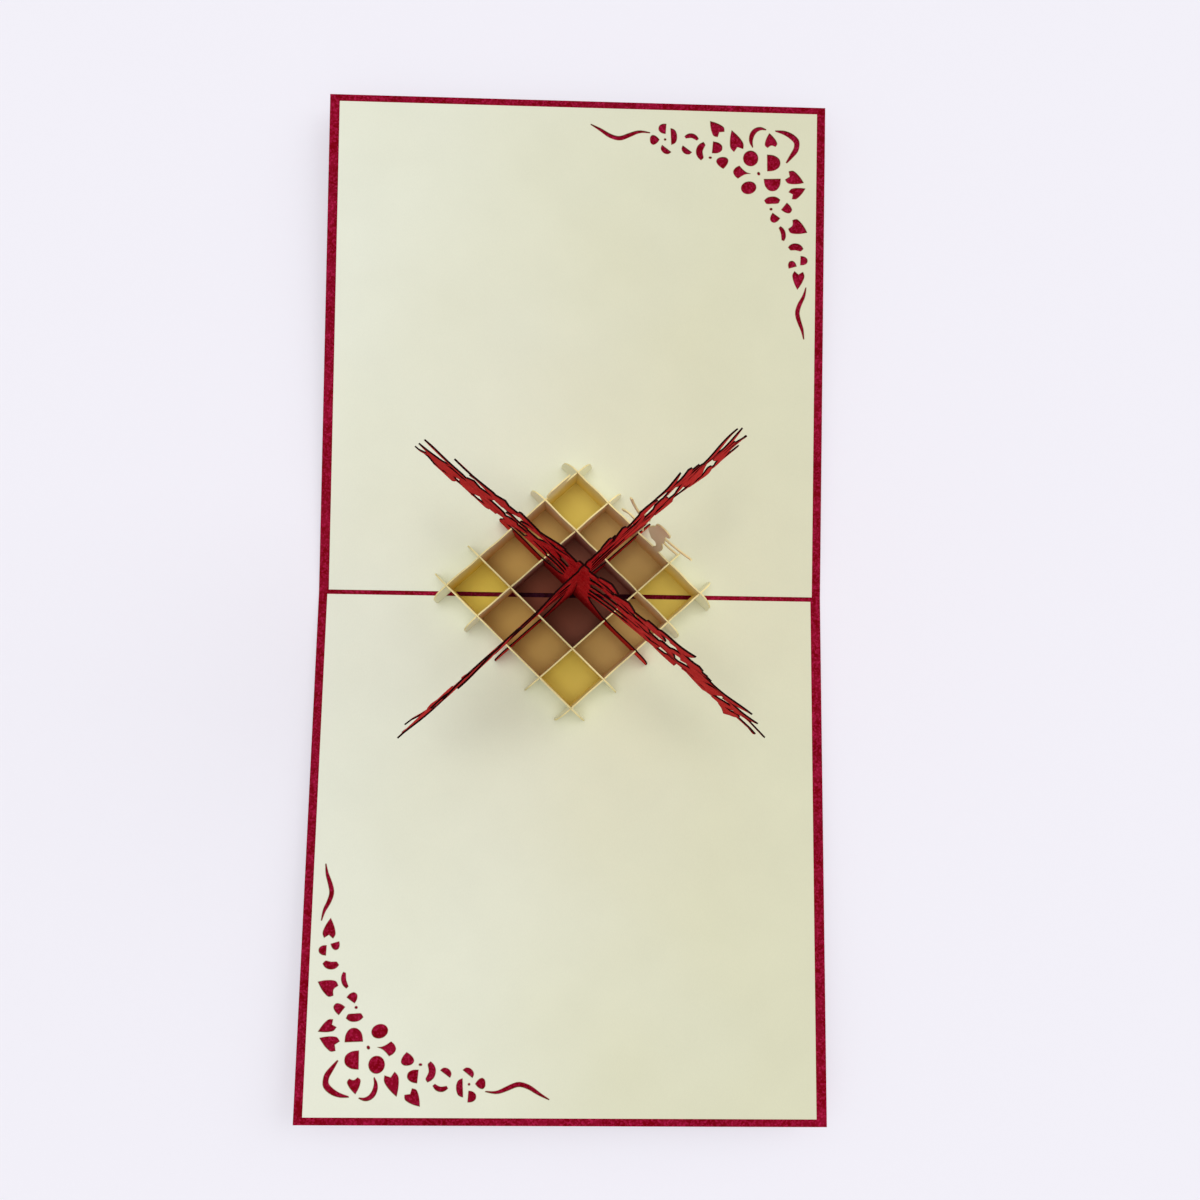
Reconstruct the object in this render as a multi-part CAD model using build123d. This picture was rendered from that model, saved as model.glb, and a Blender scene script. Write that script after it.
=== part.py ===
"""Pop-up greeting card lying open, with a tree of hearts standing on a base of interlocking slats.

Millimetres. The fold runs along X, the upper leaf lies towards +Y and the tree stands up along +Z.
The origin is the middle of the fold on the underside of the cover.
"""

import os
from math import atan2, cos, degrees, pi, radians, sin

from build123d import *

# cover and pages
CARD_W = 150.0  # along the fold
LEAF_L = 150.0  # middle of the fold to the outer edge
LEAF_RISE = 2.45  # degrees each leaf stays lifted after the card is opened
SPINE_W = 1.4  # flat scored strip between the leaves
COVER_T = 0.4
PAGE_T = 0.3
MARGIN_LEFT = 3.0  # red left showing round the upper page
MARGIN_RIGHT = 2.6
MARGIN_TOP = 2.2

# slatted base
SHEET_T = 0.4
CELL = 12.25  # from one crossing to the next
LINES = 5  # slats each way, the middle one carrying the tree
SLAT_TURN = 43.0  # degrees between a slat and the fold
SLAT_H = 15.0
JOINT_H = 7.5  # height at which two slats hook into each other
OVERHANG = 6.0  # slat end past the last crossing
END_H = 4.0  # height left at the tip of a slat
END_ROUND = 5.0  # length over which a slat's top rounds down to its tip
WAVE_H = 0.7  # rise and fall of a slat's cut top edge
WAVE_L = 10.5
SLOT_CLEAR = 0.08  # each side of a sheet in its slot
SEAT_CLEAR = 0.03  # between a sheet's foot and the page
BASE_X = 0.5  # the base was glued a little off the middle
BASE_Y = 0.8
BASE_TURN = -0.7
LEAN = 2.3  # degrees the whole base leans to the right

# tree sheets
TREE_H = 84.0
CROWN_W = 112.0
TRUNK_W = 7.6
ROOT_W = 25.0
TIP_W = 2.6
TREE_JOINT_H = 42.0  # height at which the two tree sheets hook into each other
LEAF_PITCH = 6.2  # from one leaf of a bough to the next
LEAF_SPLAY = 56.0  # degrees between a bough and the leaves along it

# figures and bush on the outer slats
FIGURE_H = 29.0  # taller figure above the slat's top
FIGURE_X = 1.5  # the couple stands a little off the middle of its slat
BUSH_W = 8.0
BUSH_H = 5.5

# The cutter follows every curve in short straight runs.
CURVE_RUNS = 5  # in one side of a heart or petal
STROKE_RUNS = 6  # in one side of a ribbon or limb
BOUGH_RUNS = 7  # in one side of a bough
ROUND_RUNS = 10  # round a disc
WAVE_RUNS = 4  # in one wave of a slat's top edge
END_RUNS = 3  # in the rounding of a slat's end


def even_steps(count):
    return [k / count for k in range(count + 1)]


def outline(points):
    return make_face(Polyline(*points, close=True))


def smooth(points):
    return Spline(*[Vector(*p) for p in points])


def width_at(widths, at):
    """Width at a share of a stroke's length, between the widths given at even steps."""
    place = at * (len(widths) - 1)
    step = min(int(place), len(widths) - 2)
    return widths[step] + (place - step) * (widths[step + 1] - widths[step])


def strip(points, widths, runs=STROKE_RUNS):
    """Stroke that follows a smooth line, with the given widths at even steps along it."""
    line = smooth(points)
    left = []
    right = []
    for at in even_steps(runs):
        run = line % at
        across = Vector(-run.Y, run.X) * (width_at(widths, at) / 2)
        left.append(line @ at + across)
        right.append(line @ at - across)
    return outline(left + right[::-1])


def ribbon(points, width):
    """Ribbon stroke that thins out at both ends."""
    return strip(points, [width * part for part in (0.2, 0.85, 1.0, 0.85, 0.2)])


def bean(points, width):
    """Short bent stroke with rounded ends."""
    return strip(points, [width * part for part in (0.55, 1.0, 1.0, 1.0, 0.55)])


def aimed(start, end):
    """Place whose x axis runs from one point to another, and the distance between the points."""
    run = Vector(*end) - Vector(*start)
    return Pos(*start) * Rot(0, 0, degrees(atan2(run.Y, run.X))), run.length


def two_sided(control, far_control, length):
    """Face between a curve from the start to the length along x, and its mirror image."""
    side = Bezier((0, 0), control, far_control, (length, 0))
    upper = [side @ at for at in even_steps(CURVE_RUNS)]
    lower = [Vector(p.X, -p.Y) for p in upper[1:-1]]
    return outline(upper + lower[::-1])


def heart(notch, tip, width):
    """Heart between its notch and its tip."""
    place, length = aimed(notch, tip)
    reach = 2 / 3 * width
    return place * two_sided((-0.6 * length, reach), (0.2 * length, reach), length)


def petal(tip, end, width):
    """Drop shape, pointed at the tip and round at the end."""
    place, length = aimed(tip, end)
    reach = 2 / 3 * width
    return place * two_sided((0.35 * length, 0.8 * reach), (length, 1.2 * reach), length)


def spade(tip, end, width):
    """Petal with a long drawn-out tip and a broad round end."""
    place, length = aimed(tip, end)
    return place * two_sided((0.7 * length, 0), (0.6 * length, width), length)


def half_round(start, end, depth):
    """Petal with one straight side, from start to end, and a round one to the left of it."""
    place, length = aimed(start, end)
    reach = 4 / 3 * depth
    side = Bezier((0, 0), (-0.12 * length, reach), (1.12 * length, reach), (length, 0))
    return place * outline([side @ at for at in even_steps(CURVE_RUNS)])


def disc(middle, width, height, turn=0.0):
    points = [(width / 2 * cos(2 * pi * k), height / 2 * sin(2 * pi * k)) for k in even_steps(ROUND_RUNS)[1:]]
    return Pos(*middle) * Rot(0, 0, turn) * outline(points)


# Corner ornament of the pages: distances in from the card's right and outer edges.


def ornament_ribbons():
    return [
        ribbon([(71.4, 7.2), (67.0, 9.7), (63.1, 11.5), (59.0, 9.8), (53.4, 9.3)], 1.4),
        ribbon([(5.4, 55.4), (6.4, 59.0), (8.1, 62.7), (7.0, 66.7), (5.9, 71.2)], 1.4),
        ribbon([(18.1, 7.4), (21.5, 7.7), (22.6, 9.6), (22.1, 12.9)], 1.5),
        ribbon([(15.3, 7.7), (10.7, 8.9), (8.3, 11.5), (9.5, 14.3), (11.8, 17.4)], 1.9),
    ]


def ornament_hearts():
    return [
        heart((32.4, 8.5), (35.2, 5.2), 4.3),
        heart((26.8, 12.9), (28.6, 7.8), 4.4),
        heart((16.5, 12.0), (17.1, 8.4), 4.0),
        heart((10.7, 21.6), (6.4, 23.4), 4.4),
        heart((9.7, 27.0), (5.9, 25.1), 3.6),
        heart((9.5, 36.6), (5.2, 38.6), 4.9),
        heart((7.7, 51.5), (8.0, 56.1), 3.9),
    ]


def ornament_flowers():
    first = [
        disc((48.8, 11.2), 0.7, 0.7),
        half_round((48.7, 9.5), (48.5, 6.4), 2.4),
        petal((50.5, 11.3), (53.4, 11.5), 3.1),
        half_round((47.2, 7.7), (46.9, 12.8), 1.9),
        half_round((46.9, 15.0), (49.7, 12.9), 1.7),
    ]
    second = [
        disc((35.0, 16.4), 1.0, 0.7),
        bean([(36.8, 12.1), (38.4, 14.4), (37.4, 16.9)], 2.0),
        half_round((34.2, 11.4), (34.5, 15.0), 3.2),
        petal((31.0, 19.7), (31.5, 16.1), 3.8),
    ]
    third = [
        disc((20.2, 20.9), 0.9, 1.1, 30),
        disc((22.7, 16.3), 4.8, 5.0),
        half_round((17.7, 15.0), (17.6, 20.1), 4.3),
        half_round((13.5, 22.3), (18.6, 22.5), 4.0),
        disc((23.2, 25.3), 4.9, 4.0, 15),
        spade((22.6, 21.0), (28.1, 20.4), 4.6),
    ]
    fourth = [
        disc((16.3, 31.7), 0.9, 0.8),
        bean([(18.1, 29.6), (16.0, 28.9), (13.8, 29.3)], 2.2),
        half_round((11.5, 29.6), (13.2, 31.8), 3.0),
        half_round((13.5, 34.4), (15.8, 32.8), 2.6),
    ]
    return first + second + third + fourth


def ornament_buds():
    return [
        bean([(42.7, 10.4), (40.8, 9.8), (38.9, 11.0)], 1.4),
        half_round((40.6, 14.9), (43.4, 12.9), 1.7),
        bean([(13.6, 37.1), (12.5, 38.9), (12.6, 41.2)], 1.4),
        bean([(10.6, 43.7), (8.8, 43.0), (6.7, 44.0)], 2.1),
        half_round((10.7, 49.7), (8.3, 49.0), 2.2),
        half_round((7.1, 45.8), (7.2, 48.6), 2.3),
    ]


def leaf_place(height):
    """Plane of the upper leaf at a height over its underside: x along the fold, y away from it."""
    rise = radians(LEAF_RISE)
    up = Vector(0, -sin(rise), cos(rise))
    return Plane(Vector(0, SPINE_W / 2, 0) + up * height, x_dir=(1, 0, 0), z_dir=up)


def cover():
    """One folded sheet: a flat scored strip with a leaf rising to each side of it."""
    rise = radians(LEAF_RISE)
    length = LEAF_L - SPINE_W / 2
    edge = Vector(SPINE_W / 2 + length * cos(rise), length * sin(rise))
    fold = Vector(SPINE_W / 2, 0)
    top_edge = edge + Vector(-sin(rise), cos(rise)) * COVER_T
    top_fold = Vector(SPINE_W / 2 - COVER_T * sin(rise / 2) / cos(rise / 2), COVER_T)
    right = [fold, edge, top_edge, top_fold]
    left = [Vector(-p.X, p.Y) for p in reversed(right)]
    along_x = Plane((-CARD_W / 2, 0, 0), x_dir=(0, 1, 0), z_dir=(1, 0, 0))
    return extrude(along_x * outline(right + left), amount=CARD_W, dir=(1, 0, 0))


def upper_page():
    """Page glued on the upper leaf, with the corner ornament cut through it."""
    length = LEAF_L - SPINE_W / 2
    width = CARD_W - MARGIN_LEFT - MARGIN_RIGHT
    middle = (MARGIN_LEFT - MARGIN_RIGHT) / 2
    sheet = Pos(middle, (length - MARGIN_TOP) / 2) * Rectangle(width, length - MARGIN_TOP)
    holes = ornament_ribbons() + ornament_hearts() + ornament_flowers() + ornament_buds()
    corner = Pos(CARD_W / 2, length) * Rot(0, 0, 180)
    sheet -= [corner * hole for hole in holes]
    place = leaf_place(COVER_T)
    return extrude(place * sheet, amount=PAGE_T, dir=place.z_dir)


def lower_page():
    """The same page turned half round on the lower leaf."""
    return Rot(0, 0, 180) * upper_page()


def below_pages():
    """Everything under the pages' faces and the seating clearance."""
    level = COVER_T + PAGE_T + SEAT_CLEAR
    lift = leaf_place(level)
    inner = lift.origin
    outer = inner + lift.y_dir * LEAF_L
    right = [(inner.Y, inner.Z), (outer.Y, outer.Z), (outer.Y, -CELL)]
    left = [(-y, z) for y, z in reversed(right)]
    along_x = Plane((-CARD_W / 2, 0, 0), x_dir=(0, 1, 0), z_dir=(1, 0, 0))
    return extrude(along_x * outline(right + left), amount=CARD_W, dir=(1, 0, 0))


def slat_half():
    """Half the length of a slat."""
    return (LINES - 1) / 2 * CELL + OVERHANG


def slat_outline(phase, height=SLAT_H):
    """Slat with a wavy top edge, rounded down to the tip at both ends; x along it and y up."""
    half = slat_half()
    flat = half - END_ROUND
    steps = round(2 * flat / WAVE_L * WAVE_RUNS)
    top = []
    for at in even_steps(steps):
        x = flat * (2 * at - 1)
        top.append((x, height + WAVE_H * sin(2 * pi * x / WAVE_L + phase)))
    round_end = []
    for at in even_steps(END_RUNS)[:-1]:
        lift = pi / 2 * at
        round_end.append((flat + END_ROUND * cos(lift), END_H + (height - END_H) * sin(lift)))
    other_end = [(-x, y) for x, y in round_end]
    return outline([(-half, -END_H)] + other_end + top + round_end[::-1] + [(half, -END_H)])


def crossings():
    """Positions along a slat at which the other slats cross it, the middle one left out."""
    reach = LINES // 2
    return [k * CELL for k in range(-reach, reach + 1) if k]


def slot_width():
    """Room a sheet takes up in the sheet it crosses, with the clearance on both sides."""
    angle = radians(2 * SLAT_TURN)
    return (SHEET_T * (1 + abs(cos(angle))) + 2 * SLOT_CLEAR) / sin(angle)


def slot(x, low, high):
    return Pos(x, (low + high) / 2) * Rectangle(slot_width(), high - low)


def slots(opens_up, top, middle_joint, middle_top):
    """Slots for every crossing, open at the top or at the foot of the sheet."""
    if opens_up:
        cuts = [slot(x, JOINT_H - SLOT_CLEAR, top) for x in crossings()]
        return cuts + [slot(0, middle_joint - SLOT_CLEAR, middle_top)]
    cuts = [slot(x, -CELL, JOINT_H + SLOT_CLEAR) for x in crossings()]
    return cuts + [slot(0, -CELL, middle_joint + SLOT_CLEAR)]


def stand(sheet_outline, turn, line):
    """Stand a cut outline on the pages as one line of the base, counted from the middle line."""
    sheet = Rot(90, 0, 0) * extrude(sheet_outline, amount=SHEET_T / 2, both=True)
    step = line * CELL
    shift = Pos(step * cos(radians(turn)), -step * sin(radians(turn)), 0)
    level = COVER_T + PAGE_T
    base = Pos(BASE_X, BASE_Y, level) * Rot(0, LEAN, 0) * Rot(0, 0, BASE_TURN)
    return base * shift * Rot(0, 0, turn) * sheet - below_pages()


def plain_slat(turn, line, extra=None):
    """One cream slat; the slats rising to the right open upwards and the falling ones downwards."""
    cut = slat_outline(phase=1.9 * line + turn)
    if extra:
        cut += extra
    cut -= slots(turn > 0, TREE_H, JOINT_H, TREE_H)
    return stand(cut, turn, line)


def bush():
    """Low rounded shape cut in one piece with the end of the first rising slat."""
    end = slat_half() - END_ROUND
    top = SLAT_H + BUSH_H
    low = petal((end - 4, top), (end - 4 - BUSH_W, SLAT_H), 7.0)
    high = petal((end - 6, SLAT_H - 2), (end - 3 - BUSH_W, top), 4.0)
    return [low, high]


def limb(points, widths):
    """Stroke of a figure; its points are shares of the figure's height from the slat's top."""
    return strip([(FIGURE_X + FIGURE_H * x, SLAT_H + FIGURE_H * y) for x, y in points], widths)


def head(x, y, width):
    return disc((FIGURE_X + FIGURE_H * x, SLAT_H + FIGURE_H * y), width, 1.15 * width)


def man():
    legs = limb([(0.15, -0.07), (0.19, 0.19), (0.14, 0.4)], (2.0, 2.0, 3.0))
    body = limb([(0.13, 0.31), (0.09, 0.55), (0.1, 0.85)], (3.4, 6.0, 3.4))
    arm = limb([(0.14, 0.69), (0.31, 0.76), (0.46, 0.87)], (1.4, 1.1, 0.8))
    hand = limb([(0.14, 0.54), (0.25, 0.53), (0.35, 0.58)], (1.4, 1.1, 0.8))
    return [legs, body, arm, hand, head(0.11, 0.9, 5.2)]


def woman():
    leg = limb([(-0.09, -0.07), (-0.08, 0.14), (-0.09, 0.35)], (1.3, 1.3, 1.6))
    skirt = limb([(-0.1, 0.22), (-0.1, 0.38), (-0.08, 0.52)], (4.2, 3.2, 2.0))
    body = limb([(-0.08, 0.48), (-0.09, 0.6), (-0.1, 0.76)], (2.0, 3.0, 1.4))
    foot = limb([(-0.12, 0.33), (-0.22, 0.37), (-0.31, 0.26)], (1.8, 1.3, 0.9))
    arm = limb([(-0.1, 0.66), (-0.21, 0.78), (-0.29, 0.94)], (1.3, 1.1, 0.8))
    return [leg, skirt, body, foot, arm, head(-0.1, 0.81, 4.0)]


def trunk():
    """Trunk that spreads into roots at the top of the slat and narrows to the crown's top."""
    foot = SLAT_H - 3
    widths = (ROOT_W, 1.4 * TRUNK_W, 1.05 * TRUNK_W, TRUNK_W, 0.9 * TRUNK_W, 0.65 * TRUNK_W, TIP_W)
    step = (TREE_H - foot) / (len(widths) - 1)
    right = [(width / 2, foot + k * step) for k, width in enumerate(widths)]
    left = [(-x, y) for x, y in reversed(right)]
    return outline(right + left)


# Boughs on one side of the trunk: the line in shares of half the crown's width and of the tree's
# height, the thickness at the trunk and the length of the leaves.
BOUGHS = [
    (((0.04, 0.43), (0.32, 0.55), (0.66, 0.54), (1.0, 0.42)), 2.4, 9.5),
    (((0.04, 0.52), (0.35, 0.68), (0.69, 0.67), (1.0, 0.53)), 2.6, 10.0),
    (((0.04, 0.63), (0.27, 0.79), (0.55, 0.81), (0.8, 0.7)), 2.4, 9.5),
    (((0.03, 0.74), (0.17, 0.9), (0.38, 0.95), (0.6, 0.88)), 2.2, 9.0),
    (((0.01, 0.86), (0.05, 0.95), (0.15, 1.0)), 1.8, 7.5),
]
FIRST_LEAF = 0.26  # shares of a bough's length
LAST_LEAF = 0.81  # the twig beyond it is bare
LEAF_ROOT = 1.3  # slender leaf past the middle of its bough
RISING_REACH = (1.0, 1.0)  # reach of the crown to the left and right, in halves of its width
FALLING_REACH = (0.92, 1.07)


def bough(shares, thick, length, side, slender):
    """Bough with leaves to both sides in turn and a bare twig at its end; side is its signed reach."""
    points = [(side * CROWN_W / 2 * x, TREE_H * y) for x, y in shares]
    parts = [strip(points, (thick, 0.7 * thick, 0.55 * thick, 0.3 * thick), BOUGH_RUNS)]
    line = smooth(points)
    steps = max(1, round((LAST_LEAF - FIRST_LEAF) * line.length / LEAF_PITCH))
    for k in range(steps + 1):
        at = FIRST_LEAF + (LAST_LEAF - FIRST_LEAF) * k / steps
        run = line % at
        way = atan2(run.Y, run.X) + radians(LEAF_SPLAY if k % 2 else -LEAF_SPLAY)
        start = line @ at
        size = length * (1.0 + 0.12 * sin(5.0 * k + slender))
        tip = (start.X + size * cos(way), start.Y + size * sin(way))
        if slender and k % 2:
            root = (start.X - LEAF_ROOT * cos(way), start.Y - LEAF_ROOT * sin(way))
            parts.append(petal(tip, root, 0.42 * size))
        else:
            parts.append(heart((start.X, start.Y), tip, 0.78 * size))
    return parts


def crown(reach, slender):
    left, right = reach
    parts = []
    for side in (-left, right):
        for shares, thick, length in BOUGHS:
            parts += bough(shares, thick, length, side, slender)
    return parts


def tree_sheet(turn, reach, slender):
    """Tree cut in one piece with the middle slat of its direction."""
    cut = slat_outline(phase=turn, height=SLAT_H - 1.0) + trunk() + crown(reach, slender)
    cut -= slots(turn > 0, SLAT_H + 3, TREE_JOINT_H, TREE_H + CELL)
    return stand(cut, turn, 0)


def pieces():
    rising = SLAT_TURN
    falling = -SLAT_TURN
    return {
        "cover": cover(),
        "upper_page": upper_page(),
        "lower_page": lower_page(),
        "rising_slat_1": plain_slat(rising, -2, bush()),
        "rising_slat_2": plain_slat(rising, -1),
        "rising_slat_3": plain_slat(rising, 1),
        "rising_slat_4": plain_slat(rising, 2),
        "falling_slat_1": plain_slat(falling, -2),
        "falling_slat_2": plain_slat(falling, -1),
        "falling_slat_3": plain_slat(falling, 1),
        "couple_slat": plain_slat(falling, 2, man() + woman()),
        "rising_tree": tree_sheet(rising, RISING_REACH, 1),
        "falling_tree": tree_sheet(falling, FALLING_REACH, 0),
    }


os.makedirs("parts", exist_ok=True)
for name, solid in pieces().items():
    export_step(solid, f"parts/{name}.step")
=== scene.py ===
"""Looks of a pop-up card: laser-cut sheets with rounded outlines, paper finishes, floor, light, camera."""

import math

import bpy
import numpy as np
from bpy.props import FloatProperty, FloatVectorProperty, IntProperty, PointerProperty
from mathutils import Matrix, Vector
from mathutils.geometry import delaunay_2d_cdt


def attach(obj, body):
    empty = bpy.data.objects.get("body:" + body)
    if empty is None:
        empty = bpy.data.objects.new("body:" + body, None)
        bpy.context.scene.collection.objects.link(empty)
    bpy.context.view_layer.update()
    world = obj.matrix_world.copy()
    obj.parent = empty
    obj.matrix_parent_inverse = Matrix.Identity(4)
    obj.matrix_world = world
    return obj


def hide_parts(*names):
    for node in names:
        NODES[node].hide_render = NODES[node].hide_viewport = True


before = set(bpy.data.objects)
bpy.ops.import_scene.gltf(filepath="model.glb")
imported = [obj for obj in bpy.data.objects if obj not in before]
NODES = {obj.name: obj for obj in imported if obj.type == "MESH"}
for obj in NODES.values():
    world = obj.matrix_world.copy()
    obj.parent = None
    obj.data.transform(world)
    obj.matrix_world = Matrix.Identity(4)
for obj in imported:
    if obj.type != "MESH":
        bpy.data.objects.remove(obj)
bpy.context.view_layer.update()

bl_info = {
    "name": "Pop-up card",
    "version": (1, 0, 0),
    "blender": (4, 5, 0),
    "location": "3D View > Sidebar > Card",
    "description": "Dresses a pop-up card's sheets in paper and lights them",
    "category": "Object",
}

MM = 0.001

PAGES = ["upper_page", "lower_page"]
SLATS = sorted(n for n in NODES if "slat" in n)
TREES = ["rising_tree", "falling_tree"]

# reading a CAD sheet
SAME_PLACE = 1e-6  # corners that round to the same multiple of this, in metres, are one
LYING = 0.9  # height of a sheet's normal above which the sheet lies
FACING = 0.9999  # share of a triangle's normal along the sheet's that puts it on the face
EDGE_CODE = 10**7  # more than a sheet has corners, so that an edge can be written as one number

# cutting its outline
STRAIGHT = math.radians(2)  # a corner that turns by less is part of a straight run
RUN_LIMIT = 3 * MM  # longest straight run of a cut outline
RING_STEP = 2.5  # most between two points of the border's ring, in widths of the border
RING_CLEAR = 0.8  # least from the ring to the outline, in widths of the border
GRID_CLEAR = 0.3  # least from the grid's points to the outline, in steps of the grid
ONE_POINT = 1e-9  # distance in metres under which the triangulation takes two points for one
SLIVER = 5e-6 * MM  # height under which a triangle is nothing but rounding
AT_A_TIME = 1000  # spots tested against an outline at a time, to spare memory
SHARP_EDGE = math.radians(40)  # faces that meet at more than this are shaded apart
TRIM = 0.3 * MM  # a page's points this near to the sides of its box were trimmed, not cut by the laser
TRIM_MARK = 0.1  # share of the singe that is left there
SINK = 0.04  # how far a bent point comes down, as a share of how far it leaves its plane

# least divisors, so that an empty triangle or run divides by something
LEAST_AREA = 1e-15
LEAST_LENGTH = 1e-12
LEAST_SQUARE = 1e-18

# steps of the grids that fill the sheets
PAGE_GRID = 14 * MM
SLAT_GRID = 5 * MM
TREE_GRID = 3 * MM

# the trees' bend: from a height above the slats, over a rise, and with pairs for the left and the right
BEND_FOOT = 19 * MM
BEND_RISE = 16 * MM
CROWN_MIDDLE = 55 * MM
CROWN_HALF = 30 * MM
CROWN_LIMITS = (-0.5, 1.0)
FALLING_TURN = 0.08
FALLING_GROWTH = (0.3, -0.15)
RISING_TWIST = (0.06, 0.03)

# the trees' ripple: where it starts beside the trunk, over how far it grows, and its two waves
RIPPLE_START = 6 * MM
RIPPLE_REACH = 18 * MM
SLOW_ACROSS = 17 * MM
SLOW_UP = 11 * MM
SLOW_SLANT = 40 * MM
SLOW_PHASE = 1.3
FINE_ACROSS = 2.9 * MM
FINE_UP = 3.4 * MM
FINE_SHARE = 0.55

# the slatted base: place on the card, angles, distance between its sheets, cells to each side, height
BASE_PLACE = (0.5 * MM, 0.8 * MM, 0.7 * MM)
BASE_TURN = math.radians(-0.7)
BASE_LEAN = math.radians(2.3)
SLAT_TURN = math.radians(43)
CELL = 12.25 * MM
BASE_REACH = 2.0
SLAT_H = 15 * MM

# tints of what stands or lies in the cells, which are painted shade and bounce light: open ones, those
# beside a red sheet, those between two
CELL_KINDS = ("Open", "Beside", "Between")
PAGE_CELL_SHADE = ((0.65, 0.51, 0.095), (0.51, 0.335, 0.10), (0.22, 0.066, 0.037))
SLAT_CELL_SHADE = ((0.95, 0.74, 0.17), (0.82, 0.57, 0.22), (0.36, 0.12, 0.07))
# on the cover they darken the fold where it runs under the base, as painted shade
COVER_CELL_SHADE = ((0.5, 0.6, 0.6), (0.4, 0.4, 0.4), (0.13, 0.5, 0.4))
CELL_SHADE_EDGE = 0.005  # how softly the painted shade ends, in cells
CELL_SHADE_RISE = 1.05  # height at which it stops fading, in slats
CELL_SHADE_TOP = 0.3  # its share from there up

# colours of the flecks, the singed borders and the cut edges; the pearl's lighter flecks are painted
# glints, and on the tree painted highlights of lit leaves as well
COVER_GLINT_FLECKS = (0.60, 0.022, 0.11)
TREE_GLINT_FLECKS = (0.85, 0.075, 0.065)
PAGE_SINGE = (0.26, 0.15, 0.05)
SLAT_SINGE = (0.45, 0.30, 0.12)
PAGE_EDGE = (0.24, 0.13, 0.04)
SLAT_EDGE = (0.80, 0.69, 0.33)

# ranges: the one that nearly all of a noise falls in, and those that values are carried to
USUAL = (0.3, 0.7)
UNIT = (0.0, 1.0)
BOTH_WAYS = (-1.0, 1.0)
REVERSED = (1.0, 0.0)

# paper: how its fibres lie and stretch, their share and the tooth's in its height, and that height
FIBRE_TURN = (0.4, 0.2, 0.6)
FIBRE_STRETCH = (1.0, 0.35, 0.6)
FIBRE_SHARE = 0.7
TOOTH_SHARE = 0.3
TOOTH = 0.05 * MM

# pearl: its fibres and clouds, flecks per metre, which are bright, how the patches thin them and
# show, and the roughness; the lighter flecks and patches are painted glints
PEARL_FIBRES = 0.10
PEARL_CLOUDS = 0.08
FLECK_SCALE = 2200.0
FLECK_BRIGHT = (0.4, 1.0)
PATCH_THINS = ((0.35, 0.7), (0.5, 1.0))
PATCH_SHOWS = ((0.45, 0.75), (0.0, 0.45))
PEARL_ROUGH = (0.34, 0.52)

# singe: how fast it fades from the cut edge, and how uneven it is
SINGE_FADE = 1.6
SINGE_UNEVEN = (0.45, 1.0)

# washes of painted light and shade: where the pages' cream turns from its lighter, cooler left to its
# darker, warmer right along the fold, how far that front wanders, and the distances from the base's middle
# between which the trunk's red, darkened as painted shade where the two sheets cross, turns to the boughs'
PAGE_LIGHT_FRONT = (-80 * MM, 45 * MM)
PAGE_LIGHT_DRIFT = (-20 * MM, 20 * MM)
TRUNK_SHADE_FRONT = (6 * MM, 22 * MM)

# sockets of a Mix node that mixes colours
MIX_FACTOR = 0
MIX_FIRST = 6
MIX_SECOND = 7
MIX_RESULT = 2

# the stage, with the directions that its two lights shine in
FLOOR_HALF = 3.0
WINDOW_TOWARDS = (0.02, -0.06, -1.0)
SIDE_TOWARDS = (-1.0, -0.5, -0.5)
SIDE_SPREAD = 1.4  # angle that the side light fills, for each angle that the one above does

# the photograph's camera, fitted to the six corners of the cover
CAMERA_PLACE = (3.398 * MM, -17.125 * MM, 254.4 * MM)
CAMERA_TURN = (0.0625010695, -0.0218329, 0.0151268)
CAMERA_LENS = 25.487
CAMERA_RANGE = (0.01, 20.0)
SENSOR = 36.0

# what every colour setting has in common
COLOUR = {"subtype": "COLOR", "size": 3, "min": 0.0, "max": 1.0}


# Colours and sizes that a user would change


class CardColours(bpy.types.PropertyGroup):
    """Colours of the card's papers and of the floor"""

    cover: FloatVectorProperty(
        name="Cover",
        description="Crimson of the outer card",
        default=(0.185, 0.0002, 0.005),
        **COLOUR,
    )
    # the pages' two creams, lighter and cooler at the left and darker and warmer at the right, are painted
    # light
    page: FloatVectorProperty(
        name="Pages",
        description="Cream of the pages at the left",
        default=(0.775, 0.79, 0.665),
        **COLOUR,
    )
    page_shaded_warm: FloatVectorProperty(
        name="Pages, shaded warm side",
        description="Cream of the pages at the right",
        default=(0.695, 0.69, 0.505),
        **COLOUR,
    )
    slat: FloatVectorProperty(
        name="Slats",
        description="Cream of the slatted base",
        default=(0.90, 0.87, 0.65),
        **COLOUR,
    )
    # the red is darker at the trunk than out on the boughs as painted shade where the two sheets cross
    tree: FloatVectorProperty(
        name="Tree",
        description="Red of the two tree sheets at the trunk",
        default=(0.40, 0.004, 0.008),
        **COLOUR,
    )
    boughs: FloatVectorProperty(
        name="Boughs",
        description="Red of the two tree sheets at the ends of the boughs",
        default=(0.52, 0.028, 0.026),
        **COLOUR,
    )
    burnt: FloatVectorProperty(
        name="Burnt edge",
        description="Colour that the laser leaves on the cut edges of the red sheets",
        default=(0.012, 0.002, 0.002),
        **COLOUR,
    )
    floor: FloatVectorProperty(
        name="Floor",
        description="Pale floor and background",
        default=(0.871, 0.855, 0.922),
        **COLOUR,
    )


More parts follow.
